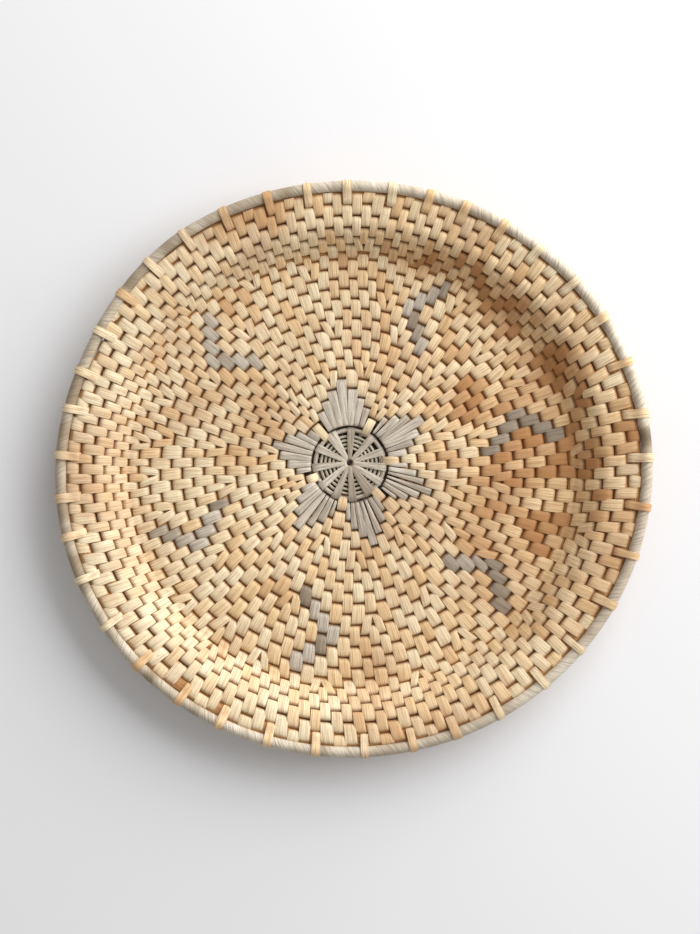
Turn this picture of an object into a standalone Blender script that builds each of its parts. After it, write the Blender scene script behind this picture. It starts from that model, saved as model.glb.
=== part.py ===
"""Coiled sweetgrass basket: a shallow round tray with a flared wall and a wrapped rim.

One long grass coil spirals outward from a small starting disc. It lies flat for the
base, climbs for the wall and lies down again for the flared lip, where a ring wrapped
in grey strand is lashed on. Grey splint makes the star and the six stepped figures.
Metres, +Z up, the tray standing on z = 0 with its bounding box centred on the origin.
"""

import math

import bmesh
import bpy
import numpy as np
from mathutils import Vector

# Starting disc, from the eye outward.
EYE_RADIUS = 0.0018
HUB_WALL = 0.0014
START_COIL_BORE = 0.0060
START_COIL_PITCH = 0.0028
START_COIL_LOOPS = 4
START_RING_WIDTH = 0.0028
SPOKE_COUNT = 12
SPOKE_WIDTH_AT_EYE = 0.0016
SPOKE_WIDTH_OUTSIDE = 0.0036
SPOKE_THICKNESS = 0.0007
# Turned places of the spokes round the eye, in degrees.
SPOKE_ANGLES = (19, 48, 87, 120, 155, 188, 220, 248, 275, 302, 328, 353)

# The long coil. A turn is counted from the angle where the first row is full.
COIL_START_ANGLE = 165.0
COIL_FIRST_TURN = -0.625
COIL_LAST_TURN = 23.96
ROWS = 24
SPLICE_TURN = 17.0
CENTRE_PITCH = 0.0053
BASE_PITCH = 0.00664
LIP_PITCH = 0.0073
CENTRE_ROWS = 4.0
BASE_ROWS = 17.6
WALL_ROWS = 3.6
ROW_BLEND = 1.2
WALL_SLOPE = 50.0
LIP_SLOPE = 12.0
POINTS_PER_LOOP = 24
COIL_GAP = 0.0006
END_TAPER_TURNS = 0.12

# The tray is not quite round: its eye lies off the middle, and its rim is slightly oval.
EYE_OFFSET_X = 0.0009
EYE_OFFSET_Y = 0.0057
OVAL_ALONG = 0.0037
OVAL_ASLANT = 0.0008

# Rim ring and its lashings.
RIM_DIAMETER = 0.0068
RIM_RISE = 0.0010
RIM_POINTS = 48
LASHING_WIDTH = 0.0038
LASHING_THICKNESS = 0.0008
# Turned places of the lashings, in degrees from +X.
LASHING_ANGLES = (
    1.0, 9.7, 20.0, 29.8, 38.8, 48.5, 57.0, 65.5, 73.2, 81.0, 90.5, 98.8, 107.2,
    116.8, 126.0, 135.0, 143.3, 152.2, 161.2, 169.0, 178.5, 187.0, 194.7, 203.6,
    213.8, 223.7, 234.3, 243.5, 253.5, 263.2, 273.0, 282.7, 291.5, 301.0, 311.5,
    321.0, 331.5, 341.8, 351.5,
)

# Star petals: the middle angle and half the spread of each, in degrees.
PETAL_SPREADS = ((31, 23), (96, 28), (166, 27), (228, 21), (287, 22), (340, 20))
PETAL_ROOT = 0.0010
PETAL_REACH = 0.0295
# How far each strip of a petal reaches, as shares of the reach.
PETAL_STEP_SHARES = (0.32, 0.55, 0.77, 1.0, 0.77, 0.55, 0.33)
PETAL_THICKNESS = 0.0008

# Stepped figures: where each starts, in degrees, and how its seven stitches step round.
FIGURE_ANGLES = (6.8, 59.5, 134.6, 198.0, 253.0, 314.3)
FIGURE_STEPS = (0.0, 3.2, 6.6, 10.0, 7.4, 4.8, 2.2)
FIGURE_FIRST_ROW = 9
FIGURE_STITCH_ROWS = 2
FIGURE_STITCH_WIDTH = 0.0064
FIGURE_THICKNESS = 0.0008
FIGURE_CLEARANCE = 0.0007

# Sides of the fine round pieces at the eye, and steps along a petal's root.
EYE_SIDES = 16
ROOT_STEPS = 4

# Clearance between pieces that touch, and how far a cutter runs past what it cuts.
CLEARANCE = 0.0003
LASHING_CLEARANCE = 0.0005
WELD = 0.00002
OVERRUN = 0.0200
# Where the faceted coil is cut flat to stand, as a share of its radius under its middle.
FLAT_DEPTH_SHARE = 0.8
# How far up the groove beside a row a lashing starts, as a share of the row's radius.
GROOVE_SHARE = 0.6
# How high the flat top of the six-sided coil lies over its middle, as a share of its radius.
FLAT_TOP_SHARE = math.cos(math.radians(30))

GRASS = (0.62, 0.46, 0.27)
STRAW = (0.68, 0.50, 0.30)
GREY_SPLINT = (0.36, 0.32, 0.28)
RIM_STRAND = (0.44, 0.38, 0.31)

OBJECT_NAME = "coiled_sweetgrass_basket"
CUTTER_NAME = "cutters"


def smooth(share):
    """Ease a share from 0 to 1, flat at both ends."""
    share = min(max(share, 0.0), 1.0)
    return share * share * (3.0 - 2.0 * share)


def pitch_at(turn):
    """Width of a row, measured along the basket's wall."""
    middle = smooth((turn - CENTRE_ROWS) / ROW_BLEND)
    outer = smooth((turn - BASE_ROWS - WALL_ROWS) / ROW_BLEND)
    pitch = CENTRE_PITCH + (BASE_PITCH - CENTRE_PITCH) * middle
    return pitch + (LIP_PITCH - BASE_PITCH) * outer


def slope_at(turn):
    """Slope of the basket's profile in degrees: flat, then wall, then lip."""
    rising = smooth((turn - BASE_ROWS) / ROW_BLEND)
    easing = smooth((turn - BASE_ROWS - WALL_ROWS) / ROW_BLEND)
    return WALL_SLOPE * rising + (LIP_SLOPE - WALL_SLOPE) * easing


def walk_profile():
    """Radius and height of the line between rows, for each step of the turn."""
    step = 1.0 / POINTS_PER_LOOP
    turns = np.arange(0.0, ROWS + 2.0, step)
    radii = [ROW_EDGE]
    heights = [0.0]
    for turn in turns[:-1]:
        width = pitch_at(turn + step / 2) * step
        slope = math.radians(slope_at(turn + step / 2))
        radii.append(radii[-1] + width * math.cos(slope))
        heights.append(heights[-1] + width * math.sin(slope))
    return turns, np.array(radii), np.array(heights)


# Sizes that follow from the driving dimensions.
NESTING = math.cos(math.pi / POINTS_PER_LOOP)
START_COIL_RADIUS = (START_COIL_PITCH * NESTING - COIL_GAP) / 2
START_RING_BORE = START_COIL_BORE + (START_COIL_LOOPS + 1) * START_COIL_PITCH
START_RING_RADIUS = START_RING_WIDTH / 2
ROW_EDGE = START_RING_BORE + START_RING_WIDTH + CLEARANCE
COIL_RADIUS = (BASE_PITCH * NESTING - COIL_GAP) / 2
COIL_MIDDLE = FLAT_DEPTH_SHARE * COIL_RADIUS
FACE_HEIGHT = COIL_MIDDLE + FLAT_TOP_SHARE * COIL_RADIUS
RIM_RADIUS = RIM_DIAMETER / 2
TURNS, LINE_RADII, LINE_HEIGHTS = walk_profile()


def line_at(turn):
    """Radius and height of the line between rows at a turn."""
    radius = np.interp(turn, TURNS, LINE_RADII)
    height = np.interp(turn, TURNS, LINE_HEIGHTS)
    return float(radius), float(height)


BASE_RADIUS = line_at(BASE_ROWS)[0]
BOWL_RADIUS = line_at(ROWS)[0]


def angle_of(turn):
    """Angle in radians that the coil has reached at a turn."""
    return math.radians(COIL_START_ANGLE) + turn * math.tau


def turn_fraction(angle):
    """Share of a turn, from 0 to 1, by which an angle lies past the coil's start."""
    return ((angle - math.radians(COIL_START_ANGLE)) / math.tau) % 1.0


def spread(angle, radius):
    """Radius on the real, slightly lopsided tray for a radius on a round one."""
    inner = min(radius / BASE_RADIUS, 1.0)
    outer = (radius / BOWL_RADIUS) ** 2
    offset = EYE_OFFSET_X * math.cos(angle) - EYE_OFFSET_Y * math.sin(angle)
    oval = OVAL_ALONG * math.cos(2 * angle) + OVAL_ASLANT * math.sin(2 * angle)
    return radius + inner * offset + outer * oval


def place(angle, radius, height=0.0):
    """Point on the tray, measured from the eye."""
    real = spread(angle, radius)
    return Vector((real * math.cos(angle), real * math.sin(angle), height))


def end_squeeze(turn):
    """How much of the last row's width is left as the coil runs out under the rim."""
    return 1.0 - smooth((turn - ROWS) / END_TAPER_TURNS + 1.0)


def row_lines(turn):
    """Inner and outer line of the coil at a turn, with both ends drawn thin."""
    inner = line_at(max(turn, 0.0))
    outer = line_at(turn + 1.0)
    left = end_squeeze(turn)
    return inner, tuple(a + (b - a) * left for a, b in zip(inner, outer))


def row_middle(turn):
    """Middle of the row at a turn, halfway between its two lines."""
    inner, outer = row_lines(turn)
    angle = angle_of(turn)
    return (place(angle, *inner) + place(angle, *outer)) / 2


def row_width(turn):
    """Room that the row at a turn has between its lines and its neighbours."""
    inner, outer = row_lines(turn)
    angle = angle_of(turn)
    room = [(place(angle, *outer) - place(angle, *inner)).length]
    for other in (turn - 1.0, turn + 1.0):
        if COIL_FIRST_TURN <= other <= COIL_LAST_TURN:
            room.append((row_middle(other) - row_middle(turn)).length)
    return min(room)


def coil_section(turn):
    """Middle of the coil at a turn, with its radius and its slope."""
    middle = row_middle(turn)
    radius = (row_width(turn) * NESTING - COIL_GAP) / 2
    middle.z += COIL_MIDDLE + FLAT_TOP_SHARE * (COIL_RADIUS - radius)
    return middle, radius, math.radians(slope_at(turn + 0.5))


def rim_section(angle):
    """Middle of the rim ring, outside the last row all the way round."""
    outer = row_lines(ROWS - 1 + turn_fraction(angle))[1]
    slope = math.radians(LIP_SLOPE)
    step = RIM_RADIUS + CLEARANCE
    radius = outer[0] + step * math.cos(slope)
    height = outer[1] + step * math.sin(slope) + RIM_RISE + COIL_MIDDLE
    return place(angle, radius, height)


def rim_points():
    """Points of the closed rim ring."""
    start = math.radians(COIL_START_ANGLE)
    return [rim_section(start + step * math.tau / RIM_POINTS) for step in range(RIM_POINTS)]


def tray_middle():
    """Middle of the tray's bounding box, seen from above and measured from the eye."""
    points = rim_points()
    across = [point.x for point in points]
    along = [point.y for point in points]
    return Vector(((min(across) + max(across)) / 2, (min(along) + max(along)) / 2, 0.0))


def fresh_scene():
    """Empty the scene and give it the two collections."""
    for item in list(bpy.data.objects):
        bpy.data.objects.remove(item)
    collections = []
    for name in (OBJECT_NAME, CUTTER_NAME):
        collection = bpy.data.collections.new(name)
        bpy.context.scene.collection.children.link(collection)
        collections.append(collection)
    return collections


def finish(name, colour, roughness):
    """Plain material of one piece."""
    material = bpy.data.materials.new(name)
    material.use_nodes = True
    shader = material.node_tree.nodes["Principled BSDF"]
    shader.inputs["Base Color"].default_value = (*colour, 1.0)
    shader.inputs["Roughness"].default_value = roughness
    shader.inputs["Metallic"].default_value = 0.0
    return material


def add_object(collection, name, data, colour, roughness=0.7):
    """Link data as a named object with a material of its own."""
    item = bpy.data.objects.new(name, data)
    collection.objects.link(item)
    data.materials.clear()
    data.materials.append(finish(name, colour, roughness))
    return item


def as_mesh(item):
    """Turn a curve object into a welded mesh object of the same name."""
    name = item.name
    collection = item.users_collection[0]
    bpy.context.view_layer.update()
    graph = bpy.context.evaluated_depsgraph_get()
    mesh = bpy.data.meshes.new_from_object(item.evaluated_get(graph))
    mesh.transform(item.matrix_world)
    bpy.data.objects.remove(item)
    shape = bmesh.new()
    shape.from_mesh(mesh)
    bmesh.ops.remove_doubles(shape, verts=shape.verts, dist=WELD)
    shape.to_mesh(mesh)
    shape.free()
    solid = bpy.data.objects.new(name, mesh)
    collection.objects.link(solid)
    return solid


def add_tube(collection, name, points, radii, slopes, colour, closed=False):
    """Six-sided tube through points, thick as its radii and turned to its slopes."""
    curve = bpy.data.curves.new(name, "CURVE")
    curve.dimensions = "3D"
    curve.twist_mode = "Z_UP"
    curve.bevel_depth = max(radii)
    curve.bevel_resolution = 1
    curve.use_fill_caps = not closed
    spline = curve.splines.new("POLY")
    spline.points.add(len(points) - 1)
    for knot, point, radius, slope in zip(spline.points, points, radii, slopes):
        knot.co = (*point, 1.0)
        knot.radius = radius / curve.bevel_depth
        knot.tilt = -slope
    spline.use_cyclic_u = closed
    return add_object(collection, name, curve, colour)


def add_plate(collection, name, outline, bottom, thickness, colour):
    """Flat plate with an outline, its lower face at a height."""
    curve = bpy.data.curves.new(name, "CURVE")
    curve.dimensions = "2D"
    curve.fill_mode = "BOTH"
    curve.extrude = thickness / 2
    spline = curve.splines.new("POLY")
    spline.points.add(len(outline) - 1)
    for knot, point in zip(spline.points, outline):
        knot.co = (point.x, point.y, 0.0, 1.0)
    spline.use_cyclic_u = True
    item = add_object(collection, name, curve, colour)
    item.location.z = bottom + thickness / 2
    return item


def add_round(collection, name, middle, radius, low, high, sides):
    """Upright cylinder between two heights, for a Boolean."""
    mesh = bpy.data.meshes.new(name)
    shape = bmesh.new()
    bmesh.ops.create_cone(
        shape, cap_ends=True, segments=sides, radius1=radius, radius2=radius, depth=high - low
    )
    shape.to_mesh(mesh)
    shape.free()
    item = bpy.data.objects.new(name, mesh)
    collection.objects.link(item)
    item.location = (middle.x, middle.y, (low + high) / 2)
    return item


def hide_cutter(item):
    """Keep a cutter out of the model's views."""
    item.hide_render = True
    item.display_type = "WIRE"


def add_boolean(item, cutter, operation):
    """Live Boolean of one object with a cutter."""
    change = item.modifiers.new(operation.lower(), "BOOLEAN")
    change.operation = operation
    change.solver = "EXACT"
    change.object = cutter
    hide_cutter(cutter)


def least_gap(points, radii):
    """Least gap between a spiral tube's turns, measured at its points and between them."""
    least = math.inf
    for index in range(POINTS_PER_LOOP, len(points) - 1):
        near = index - POINTS_PER_LOOP
        for half in (0.0, 0.5):
            point = points[index] + (points[index + 1] - points[index]) * half
            radius = radii[index] + (radii[index + 1] - radii[index]) * half
            for other in range(max(near - 1, 0), near + 2):
                along = points[other + 1] - points[other]
                share = (point - points[other]).dot(along) / along.length_squared
                share = min(max(share, 0.0), 1.0)
                distance = (point - points[other] - along * share).length
                reach = radius + radii[other] * (1 - share) + radii[other + 1] * share
                least = min(least, distance - reach)
    return least


def make_long_coil(collection, cutters, middle):
    """The two lengths of the long coil, which meet at a square splice in the base."""
    first = round(COIL_FIRST_TURN * POINTS_PER_LOOP)
    last = round(COIL_LAST_TURN * POINTS_PER_LOOP)
    splice = round(SPLICE_TURN * POINTS_PER_LOOP)
    sections = []
    for step in range(first, last + 1):
        point, radius, slope = coil_section(step / POINTS_PER_LOOP)
        sections.append((point - middle, radius, slope))
    cut = splice - first
    before = sections[cut - 1]
    after = sections[cut]
    along = (after[0] - before[0]).normalized()
    joint = (before[0] + after[0]) / 2
    width = (before[1] + after[1]) / 2
    half = along * (CLEARANCE / 2)
    base = sections[:cut] + [(joint - half, width, before[2])]
    wall = [(joint + half, width, after[2])] + sections[cut:]
    for name, run in (("base_coil", base), ("wall_coil", wall)):
        points, radii, slopes = zip(*run)
        item = add_tube(collection, name, points, radii, slopes, GRASS)
        print(name, "least gap to itself in mm", round(least_gap(points, radii) * 1000, 3))
        if name == "base_coil":
            item = as_mesh(item)
            item.data.materials.append(finish(name, GRASS, 0.7))
            add_boolean(item, floor_cutter(cutters), "DIFFERENCE")


def floor_cutter(cutters):
    """Box under z = 0, which gives the base coil its flat standing face."""
    mesh = bpy.data.meshes.new("floor_cutter")
    shape = bmesh.new()
    bmesh.ops.create_cube(shape, size=1.0)
    reach = 2 * (BASE_RADIUS + OVERRUN)
    bmesh.ops.scale(shape, verts=shape.verts, vec=(reach, reach, OVERRUN))
    bmesh.ops.translate(shape, verts=shape.verts, vec=(0.0, 0.0, -OVERRUN / 2))
    shape.to_mesh(mesh)
    shape.free()
    item = bpy.data.objects.new("floor_cutter", mesh)
    cutters.objects.link(item)
    return item


def make_start_coil(collection, middle):
    """Fine coil of the starting disc, and the ring laid round it."""
    points = []
    for step in range(START_COIL_LOOPS * POINTS_PER_LOOP + 1):
        turn = step / POINTS_PER_LOOP
        radius = START_COIL_BORE + START_COIL_PITCH * (turn + 0.5)
        points.append(place(angle_of(turn), radius, COIL_MIDDLE) - middle)
    radii = [START_COIL_RADIUS] * len(points)
    add_tube(collection, "start_coil", points, radii, [0.0] * len(points), GREY_SPLINT)
    gap = least_gap(points, radii)
    print("start_coil least gap to itself in mm", round(gap * 1000, 3))
    ring = []
    for step in range(POINTS_PER_LOOP):
        angle = angle_of(step / POINTS_PER_LOOP)
        ring.append(place(angle, START_RING_BORE + START_RING_RADIUS, COIL_MIDDLE) - middle)
    radii = [START_RING_RADIUS] * POINTS_PER_LOOP
    slopes = [0.0] * POINTS_PER_LOOP
    add_tube(collection, "start_ring", ring, radii, slopes, GREY_SPLINT, closed=True)


def star_outline(middle):
    """Outline of twelve widening spokes that run together round the eye."""
    reach = START_RING_BORE - CLEARANCE
    growth = (SPOKE_WIDTH_OUTSIDE - SPOKE_WIDTH_AT_EYE) / (reach - EYE_RADIUS)
    start = SPOKE_WIDTH_AT_EYE - growth * EYE_RADIUS
    outline = []
    for index, degrees in enumerate(SPOKE_ANGLES):
        angle = math.radians(degrees)
        lean = SPOKE_WIDTH_OUTSIDE / 2 / reach
        outline.append(place(angle - lean, reach) - middle)
        outline.append(place(angle + lean, reach) - middle)
        following = math.radians(SPOKE_ANGLES[(index + 1) % SPOKE_COUNT])
        between = (following - angle) % math.tau
        valley = max(start / (between - growth), EYE_RADIUS + HUB_WALL)
        outline.append(place(angle + between / 2, valley) - middle)
    return outline


def make_centre_wrap(collection, cutters, middle):
    """Grey splint wound through the eye: spokes over and under the fine coil."""
    outline = star_outline(middle)
    rise = FLAT_TOP_SHARE * START_COIL_RADIUS + CLEARANCE
    top = COIL_MIDDLE + rise
    bottom = COIL_MIDDLE - rise - SPOKE_THICKNESS
    upper = add_plate(collection, "centre_wrap", outline, top, SPOKE_THICKNESS, GREY_SPLINT)
    lower = add_plate(cutters, "lower_spokes", outline, bottom, SPOKE_THICKNESS, GREY_SPLINT)
    upper = as_mesh(upper)
    upper.data.materials.append(finish("centre_wrap", GREY_SPLINT, 0.7))
    lower = as_mesh(lower)
    eye = -middle
    skin = SPOKE_THICKNESS / 2
    low = bottom + skin
    high = top + skin
    hub = add_round(cutters, "hub", eye, EYE_RADIUS + HUB_WALL, low, high, EYE_SIDES)
    hole = add_round(cutters, "eye", eye, EYE_RADIUS, -OVERRUN, OVERRUN, EYE_SIDES)
    add_boolean(upper, lower, "UNION")
    add_boolean(upper, hub, "UNION")
    add_boolean(upper, hole, "DIFFERENCE")


def make_petals(collection, middle):
    """Six fans of grey strips, their tips stepping out and back."""
    root = ROW_EDGE + PETAL_ROOT
    strips = len(PETAL_STEP_SHARES)
    for number, (centre, half) in enumerate(PETAL_SPREADS, start=1):
        outline = []
        for step in range(ROOT_STEPS + 1):
            angle = math.radians(centre - half + 2 * half * step / ROOT_STEPS)
            outline.append(place(angle, root) - middle)
        for strip in reversed(range(strips)):
            tip = root + PETAL_REACH * PETAL_STEP_SHARES[strip]
            for edge in (strip + 1, strip):
                angle = math.radians(centre - half + 2 * half * edge / strips)
                outline.append(place(angle, tip) - middle)
        name = f"star_petal_{number}"
        height = FACE_HEIGHT + CLEARANCE
        add_plate(collection, name, outline, height, PETAL_THICKNESS, GREY_SPLINT)


def figure_outline(start, middle):
    """Outline of one stepped figure, band by band up its left side and down its right."""
    count = len(FIGURE_STEPS)
    bands = count + FIGURE_STITCH_ROWS - 1
    rising = []
    falling = []
    for band in range(bands):
        covering = range(max(band - FIGURE_STITCH_ROWS + 1, 0), min(band, count - 1) + 1)
        middles = [math.radians(start + FIGURE_STEPS[stitch]) for stitch in covering]
        turn = FIGURE_FIRST_ROW + band + turn_fraction(sum(middles) / len(middles))
        low = line_at(turn)[0]
        high = line_at(min(turn + 1.0, BASE_ROWS))[0]
        lean = FIGURE_STITCH_WIDTH / (low + high)
        rising.append(place(max(middles) + lean, low) - middle)
        rising.append(place(max(middles) + lean, high) - middle)
        falling.append(place(min(middles) - lean, low) - middle)
        falling.append(place(min(middles) - lean, high) - middle)
    return rising + falling[::-1]


def make_figures(collection, middle):
    """Six stepped grey figures, each of seven stitches a row apart."""
    for number, start in enumerate(FIGURE_ANGLES, start=1):
        name = f"stepped_figure_{number}"
        outline = figure_outline(start, middle)
        height = FACE_HEIGHT + FIGURE_CLEARANCE
        add_plate(collection, name, outline, height, FIGURE_THICKNESS, GREY_SPLINT)


def make_rim(collection, middle):
    """Rim ring, wrapped in fine grey strand."""
    points = [point - middle for point in rim_points()]
    radii = [RIM_RADIUS] * RIM_POINTS
    slopes = [math.radians(LIP_SLOPE)] * RIM_POINTS
    add_tube(collection, "rim_ring", points, radii, slopes, RIM_STRAND, closed=True)


def between_knots(value, knots, section):
    """Point on the straight run between a polygon's two nearest knots."""
    low = math.floor(value * knots) / knots
    share = (value - low) * knots
    first = section(low)
    second = section(low + 1.0 / knots)
    return first + (second - first) * share


def lashing_path(angle):
    """Path of a lashing, from the groove beside the last row over the rim and back."""
    turn = ROWS - 1 + turn_fraction(angle)
    if turn > COIL_LAST_TURN or end_squeeze(turn) < FLAT_DEPTH_SHARE:
        turn -= 1.0
    row = between_knots(turn, POINTS_PER_LOOP, lambda at: coil_section(at)[0])
    radius = max(coil_section(turn + side / POINTS_PER_LOOP)[1] for side in (-1, 0, 1))
    start = math.radians(COIL_START_ANGLE)
    around = turn_fraction(angle)
    rim = between_knots(around, RIM_POINTS, lambda at: rim_section(start + at * math.tau))
    outward = (rim - row).normalized()
    tangent = Vector((0.0, 0.0, 1.0)).cross(outward).normalized()
    upward = outward.cross(tangent)
    groove = outward * (-radius - COIL_GAP / 2)
    shoulder = FLAT_TOP_SHARE * radius + LASHING_CLEARANCE
    top = [
        row + groove + upward * (radius * GROOVE_SHARE),
        row - outward * (radius / 2) + upward * shoulder,
        row + outward * (radius / 2) + upward * shoulder,
    ]
    bottom = [
        row + outward * (radius / 2) - upward * shoulder,
        row - outward * (radius / 2) - upward * shoulder,
        row + groove - upward * (radius * GROOVE_SHARE),
    ]
    bend = (RIM_RADIUS + LASHING_CLEARANCE) / math.cos(math.pi / 8)
    outside = []
    for step in range(5):
        turned = math.pi / 2 - step * math.pi / 4
        outside.append(rim + (outward * math.cos(turned) + upward * math.sin(turned)) * bend)
    return top + outside + bottom, tangent


def make_lashings(collection, middle):
    """Flat straw lashings that hold the rim ring to the last row."""
    for number, degrees in enumerate(LASHING_ANGLES, start=1):
        path, tangent = lashing_path(math.radians(degrees))
        name = f"rim_lashing_{number:02d}"
        mesh = bpy.data.meshes.new(name)
        shape = bmesh.new()
        knots = [shape.verts.new(point - middle - tangent * (LASHING_WIDTH / 2)) for point in path]
        edges = [shape.edges.new(pair) for pair in zip(knots, knots[1:])]
        strip = bmesh.ops.extrude_edge_only(shape, edges=edges)["geom"]
        moved = [part for part in strip if isinstance(part, bmesh.types.BMVert)]
        bmesh.ops.translate(shape, verts=moved, vec=tangent * LASHING_WIDTH)
        bmesh.ops.recalc_face_normals(shape, faces=shape.faces)
        shape.to_mesh(mesh)
        shape.free()
        item = add_object(collection, name, mesh, STRAW)
        wall = item.modifiers.new("thickness", "SOLIDIFY")
        wall.thickness = LASHING_THICKNESS
        wall.offset = 1.0
        wall.use_even_offset = True


def main():
    """Build the whole basket."""
    collection, cutters = fresh_scene()
    middle = tray_middle()
    make_long_coil(collection, cutters, middle)
    make_start_coil(collection, middle)
    make_centre_wrap(collection, cutters, middle)
    make_petals(collection, middle)
    make_figures(collection, middle)
    make_rim(collection, middle)
    make_lashings(collection, middle)


main()
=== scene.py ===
"""Looks of the coiled sweetgrass basket: every stitch, strand and wrap of it."""

import math

import bpy
import numpy as np
from mathutils import Matrix, Vector


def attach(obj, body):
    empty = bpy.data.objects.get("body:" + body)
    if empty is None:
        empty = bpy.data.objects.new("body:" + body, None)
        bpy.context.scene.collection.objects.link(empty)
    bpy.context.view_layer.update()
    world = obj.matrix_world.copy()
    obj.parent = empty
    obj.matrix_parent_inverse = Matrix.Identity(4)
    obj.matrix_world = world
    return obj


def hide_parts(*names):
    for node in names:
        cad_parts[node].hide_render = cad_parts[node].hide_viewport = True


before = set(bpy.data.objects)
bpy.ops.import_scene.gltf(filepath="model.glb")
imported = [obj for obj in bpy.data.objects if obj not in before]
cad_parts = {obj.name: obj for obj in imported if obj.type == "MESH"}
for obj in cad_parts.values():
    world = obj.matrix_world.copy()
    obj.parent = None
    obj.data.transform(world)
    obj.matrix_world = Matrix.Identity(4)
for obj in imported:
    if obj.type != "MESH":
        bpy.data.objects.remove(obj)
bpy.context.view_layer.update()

RANDOM = np.random.default_rng(24)

# Sizes of the tray in metres, the same as the solids have.
START_COIL_BORE = 0.0060
START_COIL_PITCH = 0.0028
START_COIL_LOOPS = 4
START_RING_WIDTH = 0.0028
CLEARANCE = 0.0003
CENTRE_PITCH = 0.0053
BASE_PITCH = 0.00664
LIP_PITCH = 0.0073
CENTRE_ROWS = 4.0
BASE_ROWS = 17.6
WALL_ROWS = 3.6
ROW_BLEND = 1.2
ROWS = 24
WALL_SLOPE = 50.0
LIP_SLOPE = 12.0
COIL_GAP = 0.0006
COIL_START_ANGLE = 165.0
COIL_FIRST_TURN = -0.625
COIL_LAST_TURN = 23.96
SPLICE_TURN = 17.0
END_TAPER_TURNS = 0.12
POINTS_PER_LOOP = 24
EYE_OFFSET_X = 0.0009
EYE_OFFSET_Y = 0.0057
OVAL_ALONG = 0.0037
OVAL_ASLANT = 0.0008
RIM_DIAMETER = 0.0068
RIM_RISE = 0.0010
START_RING_BORE = START_COIL_BORE + (START_COIL_LOOPS + 1) * START_COIL_PITCH
ROW_EDGE = START_RING_BORE + START_RING_WIDTH + CLEARANCE
COIL_RADIUS = (BASE_PITCH * math.cos(math.pi / POINTS_PER_LOOP) - COIL_GAP) / 2
COIL_MIDDLE = 0.8 * COIL_RADIUS
RIM_RADIUS = RIM_DIAMETER / 2

SPOKE_ANGLES = (19, 48, 87, 120, 155, 188, 220, 248, 275, 302, 328, 353)
SPOKE_HALF_AT_EYE = 0.0009
SPOKE_HALF_OUTSIDE = 0.0023
PETAL_SPREADS = ((31, 23), (96, 28), (166, 27), (230.5, 23.5), (287, 22), (340, 20))
PETAL_STRIPS = 7
PETAL_PEAK_TURN = 4
PETAL_ROOT_TURN = 0.12
FIGURE_FIRST_TURN = 10
FIGURE_LEAD = ((4, 0.3), (6, 0.6), (8, 0.9))
FIGURE_REACH = math.radians(9.0)
FIGURES = (
    (6.8, 9.2, 12.5, 16.0, 13.5, 10.8, 8.5),
    (59.0, 63.0, 66.8, 70.3, 67.5, 64.8, 62.2),
    (134.8, 137.0, 140.5, 144.0, 141.2, 138.8, 136.5),
    (197.8, 201.2, 204.7, 207.5, 205.0, 202.2, 200.2),
    (252.7, 256.2, 260.0, 262.5, 260.7, 257.8, 254.3),
    (313.8, 318.0, 322.0, 325.5, 323.2, 320.5, 318.3),
)
STARTER_ANGLES = (203.0, 260.0, 312.0, 3.0, 62.0, 133.0)
STARTER_REACH = -0.66
WIDE_STARTER_GAP = math.radians(6.5)
# Beyond a starter: turns, inner and outer place and half widths in shares of half the gap.
STARTER_FAN = (
    (2.0, -0.5, -0.68, 0.52, 0.34), (2.0, 0.5, 0.68, 0.52, 0.34), (3.0, 0.0, 0.0, 0.36, 0.36),
    (4.0, -0.68, -0.5, 0.34, 0.52), (4.0, 0.68, 0.5, 0.34, 0.52),
)
STARTER_COLUMN = ((2.0, 0.0, 0.0, 1.04, 1.04), (4.0, 0.0, 0.0, 1.04, 1.04))
LASHING_ANGLES = (
    1, 9.7, 20, 29.8, 38.8, 48.5, 57, 65.5, 73.2, 81, 90.5, 98.8, 107.2, 116.8, 126, 135, 143.3,
    152.2, 161.2, 169, 178.5, 187, 194.7, 203.6, 213.8, 223.7, 234.3, 243.5, 253.5, 263.2, 273,
    282.7, 291.5, 301, 311.5, 321, 331.5, 341.8, 351.5,
)

# Half a lashing's width, as the photo shows it; its solid is narrower.
LASHING_HALF = 0.0026
LASHING_COVER = math.radians(1.3)
LASHING_WIDTHS = (0.85, 1.12)
LASHING_SLANT = 0.0012
LASHING_TINT_REACH = 0.85
LASHING_TINT_POWER = 1.7

# Splint and stitches, in metres and in rows.
CORE_RISE = 0.00275
SPLINT_THICKNESS = 0.00062
STITCH_RISE = 0.00295
STITCH_END_RISE = 0.0002
END_ROUND = 0.27
STITCH_ARCH = 0.0012
END_MARGIN = 0.022
STITCH_COUNT_TURNS = (4, 10, 15, 18.5, 19.5)
STITCH_COUNTS = (31, 45, 61, 73, 78)
SIDE_GAP = -0.00006
PETAL_GAP = 0.00024
HALF_WIDTH_CAP = 0.0042
BACK_SHARE = 0.60
LIP_STITCHES = 78
EDGE_OVERHANG = 0.20
EDGE_SINK = 0.0005
WALL_FIRST_TURN = 17.3
LIP_FIRST_TURN = 21.3
STITCH_CUP = 0.0002
STITCH_SAG = 0.00016
STITCH_LIFTS = (-0.00006, 0.00010)
END_NARROWING = 0.10
OUTER_SHARES = (0.20, 0.30)
START_LOWERING = 0.0017
LEAST_HEIGHT = 0.0001
STARTER_HALF = math.radians(6.2)
STARTER_CAP = 0.0027
GAP_PUSH = 0.22

# Lean of the stitches in degrees: mean, swing round the tray and where it is most, spread.
LEAN, LEAN_SWING, LEAN_AT, LEAN_SPREAD = 3.0, 6.5, 50.0, 2.0

# Tints run from 0, pale, to 1, browned; pale ones come more often.
TINT_REACH = 0.66
TINT_POWER = 1.5
FIGURE_DARKER = 0.32

# Shift of the grain from strip to strip, along and across, in millimetres.
GRAIN_SHIFT = (90.0, 37.0)


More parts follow.
